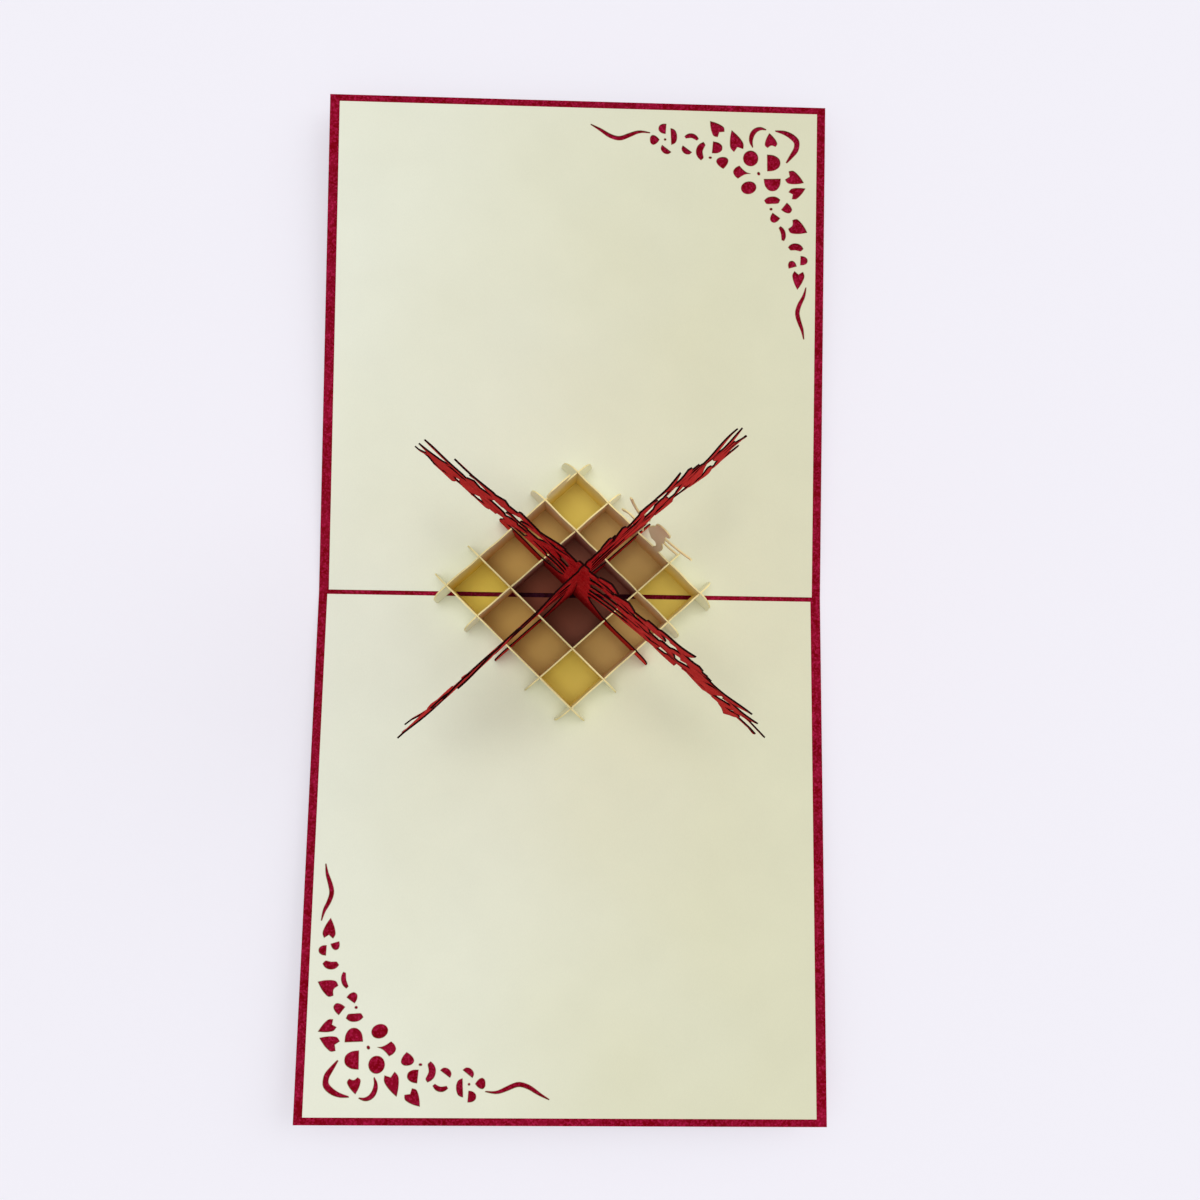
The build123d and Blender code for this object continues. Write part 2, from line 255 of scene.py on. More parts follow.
class CardCutting(bpy.types.PropertyGroup):
    """How the sheets are cut, singed and bent"""

    rounding: FloatProperty(
        name="Rounding",
        description="Share of each straight run that a corner of the cut outline is rounded over",
        subtype="FACTOR",
        min=0.0,
        max=0.49,
        default=0.46,
    )
    sharp: FloatProperty(
        name="Sharp corner",
        description="Corners that turn by more than this stay sharp",
        subtype="ANGLE",
        unit="ROTATION",
        min=0.1,
        max=3.1,
        default=math.radians(66),
    )
    steps: IntProperty(
        name="Steps",
        description="Straight steps in each rounded corner",
        min=1,
        max=8,
        default=3,
    )
    singe: FloatProperty(
        name="Singed border",
        description="Width of the darkened border along the cut edges",
        subtype="DISTANCE",
        unit="LENGTH",
        min=0.0,
        max=0.002,
        default=0.25 * MM,
    )
    burn: FloatProperty(
        name="Burnt border",
        description="Width of the burnt border along the cut edges of the red sheets",
        subtype="DISTANCE",
        unit="LENGTH",
        min=0.0,
        max=0.002,
        default=0.45 * MM,
    )
    curl: FloatProperty(
        name="Curl",
        description="How far the ends of the tree's boughs ripple out of their sheet",
        subtype="DISTANCE",
        unit="LENGTH",
        min=0.0,
        max=0.005,
        default=0.5 * MM,
    )


class CardLight(bpy.types.PropertyGroup):
    """Strengths of the light, and how soft it is"""

    sky: FloatProperty(
        name="Sky",
        description="Strength of the even light from all round",
        min=0.0,
        max=3.0,
        default=0.38,
    )
    sun: FloatProperty(
        name="Window",
        description="Strength of the soft light from almost straight above",
        min=0.0,
        max=10.0,
        default=1.75,
    )
    side: FloatProperty(
        name="Side",
        description="Strength of the low light from the right, for the card's soft shadow on its left",
        min=0.0,
        max=10.0,
        default=0.7,
    )
    softness: FloatProperty(
        name="Softness",
        description="Angle that the light from above fills, with the side light's in proportion",
        subtype="ANGLE",
        unit="ROTATION",
        min=0.0,
        max=3.0,
        default=math.radians(36),
    )


# Sheets


def merged(node):
    """Corners and triangles of a CAD node, with the corners that coincide made one."""
    mesh = NODES[node].data
    corners = np.empty(len(mesh.vertices) * 3, np.float32)
    mesh.vertices.foreach_get("co", corners)
    triangles = np.empty(len(mesh.polygons) * 3, np.int32)
    mesh.polygons.foreach_get("vertices", triangles)
    keys = np.round(corners.reshape(-1, 3) / SAME_PLACE).astype(np.int64)
    _, first, number = np.unique(keys, axis=0, return_index=True, return_inverse=True)
    triangles = number.reshape(-1)[triangles].reshape(-1, 3)
    return corners.reshape(-1, 3)[first].astype(float), triangles


def sheet_plane(corners, triangles):
    """Frame of a flat sheet, and the triangles of its face.

    The normal is (b - a) x (c - a) of the largest triangle, over its length, turned to point up, or
    towards -Y where the sheet stands. The side lies level in the sheet's plane, or along X where the
    sheet lies, and up is the normal x the side. The top is how far along the normal the face is.
    """
    a, b, c = (corners[triangles[:, k]] for k in range(3))
    areas = np.cross(b - a, c - a)
    sizes = np.linalg.norm(areas, axis=1)
    normal = areas[np.argmax(sizes)] / sizes.max()
    lying = abs(normal[2]) > LYING
    normal = normal * np.sign(normal[2] if lying else -normal[1])
    facing = (areas @ normal) / np.maximum(sizes, LEAST_AREA)
    face = triangles[facing > FACING]
    back = triangles[facing < -FACING]
    side = np.array((1.0, 0.0, 0.0)) if lying else np.cross((0.0, 0.0, 1.0), normal)
    side = side - normal * (side @ normal)
    side /= np.linalg.norm(side)
    up = np.cross(normal, side)
    top = np.median(corners[face] @ normal)
    thickness = top - np.median(corners[back] @ normal)
    return {"side": side, "up": up, "normal": normal, "top": top, "thick": thickness}, face


def outline_of(face):
    """Directed edges that one triangle of the face has alone: its outline, the sheet on the left."""
    edges = np.concatenate([face[:, [0, 1]], face[:, [1, 2]], face[:, [2, 0]]])
    codes = edges[:, 0] * EDGE_CODE + edges[:, 1]
    return edges[~np.isin(codes, edges[:, 1] * EDGE_CODE + edges[:, 0])]


def rounded(points, edges, share, sharp, steps):
    """Outline with its gentle corners rounded.

    Each corner that turns by less than the sharp angle becomes a parabola, t^2 Q + 2 t (1 - t) V
    + (1 - t)^2 P, between points P and Q on its two runs, a share of the shorter run away from V.
    """
    after = lookup(edges[:, 0], edges[:, 1], len(points))
    before = lookup(edges[:, 1], edges[:, 0], len(points))
    corner = edges[:, 0]
    here, ahead, behind = points[corner], points[after[corner]], points[before[corner]]
    forward, backward = ahead - here, behind - here
    reach_f, reach_b = np.linalg.norm(forward, axis=1), np.linalg.norm(backward, axis=1)
    turn = np.arccos(np.clip(-(forward * backward).sum(1) / (reach_f * reach_b), -1, 1))
    gentle = (turn < sharp) & (turn > STRAIGHT)
    cut = share * np.minimum(reach_f, reach_b)
    start = here + backward * (cut / reach_b)[:, None]
    end = here + forward * (cut / reach_f)[:, None]
    t = np.linspace(0, 1, steps + 1)[None, :, None]
    arcs = (1 - t) ** 2 * start[:, None] + 2 * t * (1 - t) * here[:, None] + t**2 * end[:, None]
    arcs[~gentle] = here[~gentle][:, None]
    kept = np.ones(arcs.shape[:2], bool)
    kept[~gentle, 1:] = False
    numbers = np.cumsum(kept.ravel()).reshape(kept.shape) - 1
    place = np.zeros(len(points), int)
    place[corner] = np.arange(len(corner))
    last = np.where(gentle, numbers[:, -1], numbers[:, 0])
    inside = np.stack([numbers[:, :-1], numbers[:, 1:]], -1)[gentle].reshape(-1, 2)
    between = np.stack([last, numbers[place[after[corner]], 0]], -1)
    return arcs[kept], np.concatenate([inside, between])


def lookup(keys, values, size):
    """Array that holds each key's value, and -1 elsewhere."""
    table = np.full(size, -1)
    table[keys] = values
    return table


def split_runs(points, edges, longest):
    """Outline with its long runs cut into equal ones no longer than a limit."""
    start, end = points[edges[:, 0]], points[edges[:, 1]]
    counts = np.maximum(1, np.ceil(np.linalg.norm(end - start, axis=1) / longest).astype(int))
    run = np.repeat(np.arange(len(edges)), counts)
    step = np.arange(len(run)) - np.repeat(np.cumsum(counts) - counts, counts)
    share = (step / counts[run])[:, None]
    places = start[run] * (1 - share) + end[run] * share
    first = np.cumsum(counts) - counts
    leaving = lookup(edges[:, 0], first, len(points))
    following = np.arange(len(run)) + 1
    last = step == counts[run] - 1
    following[last] = leaving[edges[run[last], 1]]
    return places, np.stack([np.arange(len(run)), following], 1)


def by_parts(test, spots, points, edges):
    """A test of spots against an outline, done on a part of the spots at a time."""
    parts = np.array_split(spots, len(spots) // AT_A_TIME + 1)
    return np.concatenate([test(part, points[edges[:, 0]], points[edges[:, 1]]) for part in parts])


def crossing_test(spots, a, b):
    """Which spots have an odd number of the runs from a to b on their right.

    A spot's level crosses a run where one end alone is above it, at x = ax + (y - ay) (bx - ax)
    / (by - ay).
    """
    above = a[:, 1][None] > spots[:, 1][:, None]
    crosses = above != (b[:, 1][None] > spots[:, 1][:, None])
    rise = np.where(b[:, 1] == a[:, 1], LEAST_LENGTH, b[:, 1] - a[:, 1])
    at = a[:, 0] + (spots[:, 1][:, None] - a[:, 1]) * (b[:, 0] - a[:, 0]) / rise
    return (crosses & (spots[:, 0][:, None] < at)).sum(1) % 2 == 1


def nearest_run(spots, a, b):
    """Least distance from each spot to the runs from a to b.

    It is |r - s d|, with r = spot - a, d = b - a, and s = r . d / d . d held between 0 and 1.
    """
    run = b - a
    reach = spots[:, None] - a[None]
    share = np.clip((reach * run).sum(2) / np.maximum((run * run).sum(1), LEAST_SQUARE), 0, 1)
    return np.linalg.norm(reach - share[..., None] * run, axis=2).min(1)


def inside_outline(spots, points, edges):
    """Which spots lie inside the outline, by the even-odd rule."""
    return by_parts(crossing_test, spots, points, edges)


def distance_to_outline(spots, points, edges):
    """Distance from each spot to the nearest run of the outline."""
    return by_parts(nearest_run, spots, points, edges)


def border_ring(points, edges, width):
    """Points a border's width inside the outline, at most two and a half widths apart.

    Each is p + w n, with n the direction between the inward normals of the two runs that meet at p.
    Those that come nearer to another run than RING_CLEAR widths are left out.
    """
    points, edges = split_runs(points, edges, RING_STEP * width)
    run = points[edges[:, 1]] - points[edges[:, 0]]
    run /= np.maximum(np.linalg.norm(run, axis=1), LEAST_LENGTH)[:, None]
    inward = np.zeros_like(points)
    np.add.at(inward, edges[:, 0], np.stack([-run[:, 1], run[:, 0]], 1))
    np.add.at(inward, edges[:, 1], np.stack([-run[:, 1], run[:, 0]], 1))
    inward /= np.maximum(np.linalg.norm(inward, axis=1), LEAST_LENGTH)[:, None]
    ring = points + inward * width
    fits = inside_outline(ring, points, edges)
    fits &= distance_to_outline(ring, points, edges) > RING_CLEAR * width
    return ring[fits]


def fill_grid(points, edges, pitch):
    """Points of a square grid inside the outline, away from its runs."""
    low, high = points.min(0), points.max(0)
    steps = [np.arange(low[k] + pitch / 2, high[k], pitch) for k in (0, 1)]
    grid = np.stack(np.meshgrid(*steps), -1).reshape(-1, 2)
    grid = grid[inside_outline(grid, points, edges)]
    return grid[distance_to_outline(grid, points, edges) > GRID_CLEAR * pitch]


def triangulated(points, edges, extra):
    """Triangles between the outline's points and the extra ones.

    Left out are those outside, and those flat to SLIVER, which lie along a straight run of the outline.
    A triangle's height is twice its area, (b - a) x (c - a), over its longest side.
    """
    spots = np.concatenate([points, extra])
    made = delaunay_2d_cdt([Vector(p) for p in spots.tolist()], edges.tolist(), [], 0, ONE_POINT)
    flat = np.array([tuple(v) for v in made[0]])
    triangles = np.array(made[2])
    a, b, c = (flat[triangles[:, k]] for k in range(3))
    doubled = np.abs((b - a)[:, 0] * (c - a)[:, 1] - (b - a)[:, 1] * (c - a)[:, 0])
    longest = np.stack([np.linalg.norm(side, axis=1) for side in (b - a, c - b, a - c)]).max(0)
    kept = inside_outline((a + b + c) / 3, points, edges) & (doubled > SLIVER * longest)
    return flat, triangles[kept]


def bend_of(node, across, up, curl):
    """How far each point of a sheet leaves its plane, with u across from the trunk and v up.

    Only the two trees bend, from nothing at BEND_FOOT to all of it a BEND_RISE above. With h the share
    (v - CROWN_MIDDLE) / CROWN_HALF, held to its limits, the falling one is turned about the trunk,
    -t u (1 + k h), and the rising one twists with the height, -k u h, each with one k for its left and
    one for its right. Both ripple by the curl times sin(u / a + p) cos(v / b + u / c) and a share of
    sin(u / d + v / e), growing with |u|.
    """
    if node not in TREES:
        return np.zeros(len(across))
    free = np.clip((up - BEND_FOOT) / BEND_RISE, 0, 1)
    out = np.clip((np.abs(across) - RIPPLE_START) / RIPPLE_REACH, 0, 1)
    slow = np.sin(across / SLOW_ACROSS + SLOW_PHASE) * np.cos(up / SLOW_UP + across / SLOW_SLANT)
    fine = np.sin(across / FINE_ACROSS + up / FINE_UP)
    ripple = curl * out * (slow + FINE_SHARE * fine)
    high = np.clip((up - CROWN_MIDDLE) / CROWN_HALF, *CROWN_LIMITS)
    left = across < 0
    if node == "falling_tree":
        turn = FALLING_TURN * (1 + np.where(left, *FALLING_GROWTH) * high)
    else:
        turn = np.where(left, *RISING_TWIST) * high
    return free * (ripple - turn * across)


def flat_sheet(node, pitch):
    """A CAD sheet laid flat and cut: its frame, its points, and its triangles.

    A triangle that goes round the other way, with (b - a) x (c - a) under 0, is turned.
    """
    cutting = bpy.context.scene.card_cutting
    corners, triangles = merged(node)
    plane, face = sheet_plane(corners, triangles)
    flat_corners = np.stack([corners @ plane["side"], corners @ plane["up"]], 1)
    used, edges = np.unique(outline_of(face), return_inverse=True)
    points, edges = rounded(
        flat_corners[used], edges.reshape(-1, 2), cutting.rounding, cutting.sharp, cutting.steps
    )
    points, edges = split_runs(points, edges, RUN_LIMIT)
    border = cutting.burn if node in TREES else cutting.singe
    extra = np.concatenate([border_ring(points, edges, border), fill_grid(points, edges, pitch)])
    flat, fill = triangulated(points, edges, extra)
    run = flat[fill[:, 1]] - flat[fill[:, 0]]
    third = flat[fill[:, 2]] - flat[fill[:, 0]]
    turned = run[:, 0] * third[:, 1] - run[:, 1] * third[:, 0] < 0
    fill[turned] = fill[turned][:, ::-1]
    return plane, flat, fill


def sheet_mesh(name, node, pitch):
    """Mesh of a cut sheet: two faces of triangles, and a band of the outline's runs between them.

    A point (u, v) of the flat sheet goes to u side + (v - SINK |bend|) up + (top + bend) normal on the
    front, and to the same less the thickness along the normal on the back. The cut edges carry the
    second material and a singe of 1, which fades to 0 at the border's ring.
    """
    plane, flat, fill = flat_sheet(node, pitch)
    rim = outline_of(fill)
    low, high = flat.min(0), flat.max(0)
    across = flat[:, 0] - (low[0] + high[0]) / 2
    bend = bend_of(node, across, flat[:, 1], bpy.context.scene.card_cutting.curl)
    spread = np.outer(flat[:, 0], plane["side"]) + np.outer(flat[:, 1] - SINK * np.abs(bend), plane["up"])
    front = spread + np.outer(plane["top"] + bend, plane["normal"])
    back = spread + np.outer(plane["top"] - plane["thick"] + bend, plane["normal"])
    count = len(flat)
    quads = np.stack([rim[:, 1], rim[:, 0], rim[:, 0] + count, rim[:, 1] + count], 1)
    faces = fill.tolist() + (fill[:, ::-1] + count).tolist() + quads.tolist()
    mesh = bpy.data.meshes.new(name)
    mesh.from_pydata(np.concatenate([front, back]).tolist(), [], faces)
    trimmed = np.zeros(count, bool)
    if node in PAGES:
        trimmed = (np.minimum(flat - low, high - flat) < TRIM).any(1)
    slots = np.zeros(len(faces), np.int32)
    slots[2 * len(fill):] = ~trimmed[rim[:, 0]]
    mesh.polygons.foreach_set("material_index", slots)
    marks = np.zeros(count, np.float32)
    marks[np.unique(rim)] = 1
    marks[trimmed] *= TRIM_MARK
    singe = mesh.attributes.new("singe", "FLOAT", "POINT")
    singe.data.foreach_set("value", np.concatenate([marks, marks]))
    mesh.polygons.foreach_set("use_smooth", np.ones(len(faces), bool))
    mesh.validate()
    mesh.set_sharp_from_angle(angle=SHARP_EDGE)
    return mesh


def cut_sheet(node, pitch, face, edge):
    """Piece that stands for a CAD sheet, with its outline rounded and its two finishes."""
    mesh = sheet_mesh(f"{node}_cut", node, pitch)
    mesh.materials.append(face)
    mesh.materials.append(edge)
    piece = bpy.data.objects.new(f"{node}_cut", mesh)
    bpy.context.collection.objects.link(piece)
    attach(piece, "root")
    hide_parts(node)
    return piece


# Nodes


def new_group(name, inputs, outputs):
    """Empty shader node group with float, colour or vector sockets."""
    group = bpy.data.node_groups.new(name, "ShaderNodeTree")
    for label, kind, default in inputs:
        socket = group.interface.new_socket(label, in_out="INPUT", socket_type=kind)
        if default is not None:
            socket.default_value = default
    for label, kind in outputs:
        group.interface.new_socket(label, in_out="OUTPUT", socket_type=kind)
    start = group.nodes.new("NodeGroupInput")
    end = group.nodes.new("NodeGroupOutput")
    return group, start, end


def link(tree, source, target):
    """Links an output socket to an input socket."""
    tree.links.new(source, target)


def feed(tree, value, socket):
    """Links a socket to an input socket, or sets a plain number or colour on it."""
    if isinstance(value, bpy.types.NodeSocket):
        link(tree, value, socket)
    else:
        socket.default_value = value


def opaque(colour):
    """Colour as a socket takes it, with an alpha of 1."""
    return (*colour, 1.0)


def place_of(tree):
    """Socket with the place on the piece, in metres of the shared frame."""
    return tree.nodes.new("ShaderNodeTexCoord").outputs["Object"]


def math_node(tree, operation, first, second=0.0):
    """Math node on two sockets or numbers; gives its result socket."""
    node = tree.nodes.new("ShaderNodeMath")
    node.operation = operation
    feed(tree, first, node.inputs[0])
    feed(tree, second, node.inputs[1])
    return node.outputs[0]


def vector_node(tree, operation, vector, other=(0.0, 0.0, 0.0)):
    """Vector math node on a socket and a plain vector; gives the node."""
    node = tree.nodes.new("ShaderNodeVectorMath")
    node.operation = operation
    link(tree, vector, node.inputs[0])
    node.inputs[1].default_value = other
    return node


def turned_node(tree, vector, axis, angle):
    """Vector turned about an axis; gives its result socket."""
    node = tree.nodes.new("ShaderNodeVectorRotate")
    node.rotation_type = axis
    node.inputs["Angle"].default_value = angle
    link(tree, vector, node.inputs["Vector"])
    return node.outputs[0]


def parts_of(tree, vector):
    """The three parts of a vector, as sockets."""
    node = tree.nodes.new("ShaderNodeSeparateXYZ")
    link(tree, vector, node.inputs[0])
    return node.outputs


def noise_node(tree, vector, scale, detail, rough):
    """Noise read at a vector, with a scale per metre; gives its 0 to 1 result socket."""
    node = tree.nodes.new("ShaderNodeTexNoise")
    node.inputs["Scale"].default_value = scale
    node.inputs["Detail"].default_value = detail
    node.inputs["Roughness"].default_value = rough
    link(tree, vector, node.inputs["Vector"])
    return node.outputs["Fac"]


def mapped(tree, value, source, target):
    """Range of a value carried to another range, and held there; gives its result socket."""
    node = tree.nodes.new("ShaderNodeMapRange")
    link(tree, value, node.inputs["Value"])
    for label, number in zip(("From Min", "From Max", "To Min", "To Max"), (*source, *target)):
        node.inputs[label].default_value = number
    return node.outputs["Result"]


def mixed(tree, factor, first, second, blend="MIX"):
    """Colour mix of two sockets or colours; gives its result socket."""
    node = tree.nodes.new("ShaderNodeMix")
    node.data_type = "RGBA"
    node.blend_type = blend
    feed(tree, factor, node.inputs[MIX_FACTOR])
    feed(tree, first, node.inputs[MIX_FIRST])
    feed(tree, second, node.inputs[MIX_SECOND])
    return node.outputs[MIX_RESULT]


# Shared effects


def paper_fibres():
    """Paper: short fibres and soft clouds that vary a colour, and a height for the bump.

    The colour is multiplied by 1 + fibres f + clouds c, with f and c noises between -1 and 1. The
    height is a share of the fibres' noise and a share of a finer one, the tooth.
    """
    group, start, end = new_group(
        "Paper fibres",
        [
            ("Colour", "NodeSocketColor", None),
            ("Fibres", "NodeSocketFloat", 0.05),
            ("Clouds", "NodeSocketFloat", 0.05),
        ],
        [("Colour", "NodeSocketColor"), ("Height", "NodeSocketFloat")],
    )
    place = place_of(group)
    stretch = group.nodes.new("ShaderNodeMapping")
    stretch.inputs["Rotation"].default_value = FIBRE_TURN
    stretch.inputs["Scale"].default_value = FIBRE_STRETCH
    link(group, place, stretch.inputs["Vector"])
    fibre = noise_node(group, stretch.outputs["Vector"], scale=4200.0, detail=6.0, rough=0.7)
    cloud = noise_node(group, place, scale=60.0, detail=3.0, rough=0.5)
    tooth = noise_node(group, place, scale=9000.0, detail=2.0, rough=0.5)
    fibre_swing = mapped(group, fibre, USUAL, BOTH_WAYS)
    cloud_swing = mapped(group, cloud, USUAL, BOTH_WAYS)
    fibre_part = math_node(group, "MULTIPLY", fibre_swing, start.outputs["Fibres"])
    cloud_part = math_node(group, "MULTIPLY", cloud_swing, start.outputs["Clouds"])
    shade = math_node(group, "ADD", math_node(group, "ADD", fibre_part, cloud_part), 1.0)
    grey = group.nodes.new("ShaderNodeCombineColor")
    for k in range(3):
        link(group, shade, grey.inputs[k])
    varied = mixed(group, 1.0, start.outputs["Colour"], grey.outputs[0], "MULTIPLY")
    link(group, varied, end.inputs["Colour"])
    fibre_height = math_node(group, "MULTIPLY", fibre, FIBRE_SHARE)
    tooth_height = math_node(group, "MULTIPLY", tooth, TOOTH_SHARE)
    link(group, math_node(group, "ADD", fibre_height, tooth_height), end.inputs["Height"])
    return group


def pearl_glint_flecks():
    """Pearl ink: mottled lighter flecks, painted in as the ink's glints, as a mask, and a roughness of
    each fleck's own.

    Each cell of the pattern is a fleck with a brightness of its own. The mask is the larger of that,
    thinned by soft patches, and the patches themselves, times the amount.
    """
    group, start, end = new_group(
        "Pearl glint flecks",
        [("Scale", "NodeSocketFloat", 1800.0), ("Amount", "NodeSocketFloat", 0.5)],
        [("Flecks", "NodeSocketFloat"), ("Roughness", "NodeSocketFloat")],
    )
    place = place_of(group)
    cells = group.nodes.new("ShaderNodeTexVoronoi")
    link(group, place, cells.inputs["Vector"])
    link(group, start.outputs["Scale"], cells.inputs["Scale"])
    values = group.nodes.new("ShaderNodeSeparateColor")
    link(group, cells.outputs["Color"], values.inputs[0])
    patches = noise_node(group, place, scale=220.0, detail=5.0, rough=0.65)
    bright = mapped(group, values.outputs[0], FLECK_BRIGHT, UNIT)
    fine = math_node(group, "MULTIPLY", bright, mapped(group, patches, *PATCH_THINS))
    flecks = math_node(group, "MAXIMUM", fine, mapped(group, patches, *PATCH_SHOWS))
    link(group, math_node(group, "MULTIPLY", flecks, start.outputs["Amount"]), end.inputs["Flecks"])
    link(group, mapped(group, values.outputs[1], UNIT, PEARL_ROUGH), end.inputs["Roughness"])
    return group


def laser_singe():
    """Border darkened by the laser: how much, from the sheet's own singe values and a noise.

    It is the singe to the power SINGE_FADE, times the noise carried to SINGE_UNEVEN, times the strength.
    """
    group, start, end = new_group(
        "Laser singe", [("Strength", "NodeSocketFloat", 1.0)], [("Singe", "NodeSocketFloat")]
    )
    mark = group.nodes.new("ShaderNodeAttribute")
    mark.attribute_name = "singe"
    noise = noise_node(group, place_of(group), scale=700.0, detail=3.0, rough=0.6)
    uneven = mapped(group, noise, USUAL, SINGE_UNEVEN)
    fade = math_node(group, "POWER", mark.outputs["Fac"], SINGE_FADE)
    patchy = math_node(group, "MULTIPLY", fade, uneven)
    link(group, math_node(group, "MULTIPLY", patchy, start.outputs["Strength"]), end.inputs["Singe"])
    return group


def painted_cell_shade():
    """Painted shade and bounce light of the base's cells on the paper in them, as a colour and a mask.

    A place is carried into the base's frame and written as a d1 + b d2, with d1 and d2 the directions
    of the rising and falling sheets: a = (x / cos t + y / sin t) / 2 and b = (x / cos t - y / sin t) / 2.
    The cell lies beside a red sheet where |a| or |b| is under one cell, between two where both are, and
    inside the base where both are under BASE_REACH. The mask fades upwards to CELL_SHADE_TOP: the painted
    shade and bounce light are strongest at the foot of the slats and on the page.
    """
    group, start, end = new_group(
        "Painted cell shade",
        [(kind, "NodeSocketColor", None) for kind in CELL_KINDS],
        [("Colour", "NodeSocketColor"), ("Inside", "NodeSocketFloat")],
    )
    shifted = vector_node(group, "SUBTRACT", place_of(group), BASE_PLACE).outputs[0]
    upright = turned_node(group, shifted, "Y_AXIS", -BASE_LEAN)
    parts = parts_of(group, turned_node(group, upright, "Z_AXIS", -BASE_TURN))
    x = math_node(group, "DIVIDE", parts[0], 2 * math.cos(SLAT_TURN) * CELL)
    y = math_node(group, "DIVIDE", parts[1], 2 * math.sin(SLAT_TURN) * CELL)
    a = math_node(group, "ABSOLUTE", math_node(group, "ADD", x, y))
    b = math_node(group, "ABSOLUTE", math_node(group, "SUBTRACT", x, y))
    near_a = mapped(group, a, (1 - CELL_SHADE_EDGE, 1 + CELL_SHADE_EDGE), REVERSED)
    near_b = mapped(group, b, (1 - CELL_SHADE_EDGE, 1 + CELL_SHADE_EDGE), REVERSED)
    both = math_node(group, "MULTIPLY", near_a, near_b)
    either = math_node(group, "MAXIMUM", near_a, near_b)
    side = mixed(group, either, start.outputs["Open"], start.outputs["Beside"])
    link(group, mixed(group, both, side, start.outputs["Between"]), end.inputs["Colour"])
    reach = math_node(group, "MAXIMUM", a, b)
    within = mapped(group, reach, (BASE_REACH - 2 * CELL_SHADE_EDGE, BASE_REACH), REVERSED)
    deep = mapped(group, parts[2], (0.0, CELL_SHADE_RISE * SLAT_H), (1.0, CELL_SHADE_TOP))
    link(group, math_node(group, "MULTIPLY", within, deep), end.inputs["Inside"])
    return group


def wash(name, share_of):
    """A near colour that turns into a far one, by a share worked out from the place: painted light and
    shade.
    """
    group, start, end = new_group(
        name,
        [("Near", "NodeSocketColor", None), ("Far", "NodeSocketColor", None)],
        [("Colour", "NodeSocketColor")],
    )
    share = share_of(group, place_of(group))
    link(group, mixed(group, share, start.outputs["Near"], start.outputs["Far"]), end.inputs["Colour"])
    return group


def page_light_share(tree, place):
    """Share that grows from the left end of the fold to the right, along a soft uneven front: the pages'
    painted light, lighter and cooler at the left, darker and warmer at the right.
    """
    noise = noise_node(tree, place, scale=14.0, detail=2.0, rough=0.5)
    drift = mapped(tree, noise, USUAL, PAGE_LIGHT_DRIFT)
    along = math_node(tree, "ADD", parts_of(tree, place)[0], drift)
    return mapped(tree, along, PAGE_LIGHT_FRONT, UNIT)


def trunk_shade_share(tree, place):
    """Share that grows with the level distance from the base's middle, out of the trunk's painted shade
    where the two sheets cross.
    """
    shifted = vector_node(tree, "SUBTRACT", place, BASE_PLACE)
    level = vector_node(tree, "MULTIPLY", shifted.outputs[0], (1.0, 1.0, 0.0))
    reach = vector_node(tree, "LENGTH", level.outputs[0])
    return mapped(tree, reach.outputs["Value"], TRUNK_SHADE_FRONT, UNIT)


GROUPS = {}


def build_groups():
    """The shared effects, built once."""
    if not GROUPS:
        GROUPS["fibres"] = paper_fibres()
        GROUPS["flecks"] = pearl_glint_flecks()
        GROUPS["singe"] = laser_singe()
        GROUPS["cells"] = painted_cell_shade()
        GROUPS["page painted light"] = wash("Page painted light", page_light_share)
        GROUPS["trunk painted shade"] = wash("Trunk painted shade", trunk_shade_share)


# Finishes


def placed(tree, effect, values):
    """A shared effect placed in a material, with its own values."""
    node = tree.nodes.new("ShaderNodeGroup")
    node.node_tree = GROUPS[effect]
    for label, value in values.items():
        node.inputs[label].default_value = value
    return node


def grained(name, colour, fibres, clouds, bump, painted_wash, far):
    """New material with a paper's fibres, clouds and tooth; gives it and its colour socket.

    The washes paint light and shade: where a wash is named, the colour turns into a far one by it.
    """
    material = bpy.data.materials.new(name)
    material.use_nodes = True
    tree = material.node_tree
    grain = placed(tree, "fibres", {"Colour": opaque(colour), "Fibres": fibres, "Clouds": clouds})
    if painted_wash:
        spread = placed(tree, painted_wash, {"Near": opaque(colour), "Far": opaque(far)})
        link(tree, spread.outputs["Colour"], grain.inputs["Colour"])
    lift = tree.nodes.new("ShaderNodeBump")
    lift.inputs["Strength"].default_value = bump
    lift.inputs["Distance"].default_value = TOOTH
    link(tree, grain.outputs["Height"], lift.inputs["Height"])
    link(tree, lift.outputs["Normal"], tree.nodes["Principled BSDF"].inputs["Normal"])
    return material, grain.outputs["Colour"]


def cell_shaded(tree, colour_socket, cells, blend="MIX"):
    """Colour with the painted shade and bounce light of the base's cells: open ones, those beside a red
    sheet, those between two.
    """
    tint = placed(tree, "cells", {kind: opaque(colour) for kind, colour in zip(CELL_KINDS, cells)})
    return mixed(tree, tint.outputs["Inside"], colour_socket, tint.outputs["Colour"], blend)


def singed(tree, colour_socket, strength, colour):
    """Colour with the border that the laser darkened."""
    mark = placed(tree, "singe", {"Strength": strength})
    return mixed(tree, mark.outputs["Singe"], colour_socket, opaque(colour))


def paper(
    name, colour, *, fibres, clouds, rough, bump, gloss=0.02, painted_wash=None, far=None, cells=None,
    singe=0.0, singe_colour=None,
):
    """Matt paper: fibres and clouds in the colour, a tooth in the bump, and a singed border, with painted
    light and shade from a wash and from the base's cells where they are named.
    """
    material, colour_socket = grained(name, colour, fibres, clouds, bump, painted_wash, far)
    tree = material.node_tree
    if cells:
        colour_socket = cell_shaded(tree, colour_socket, cells)
    if singe:
        colour_socket = singed(tree, colour_socket, singe, singe_colour)
    shader = tree.nodes["Principled BSDF"]
    link(tree, colour_socket, shader.inputs["Base Color"])
    shader.inputs["Roughness"].default_value = rough
    shader.inputs["Specular IOR Level"].default_value = gloss
    return material


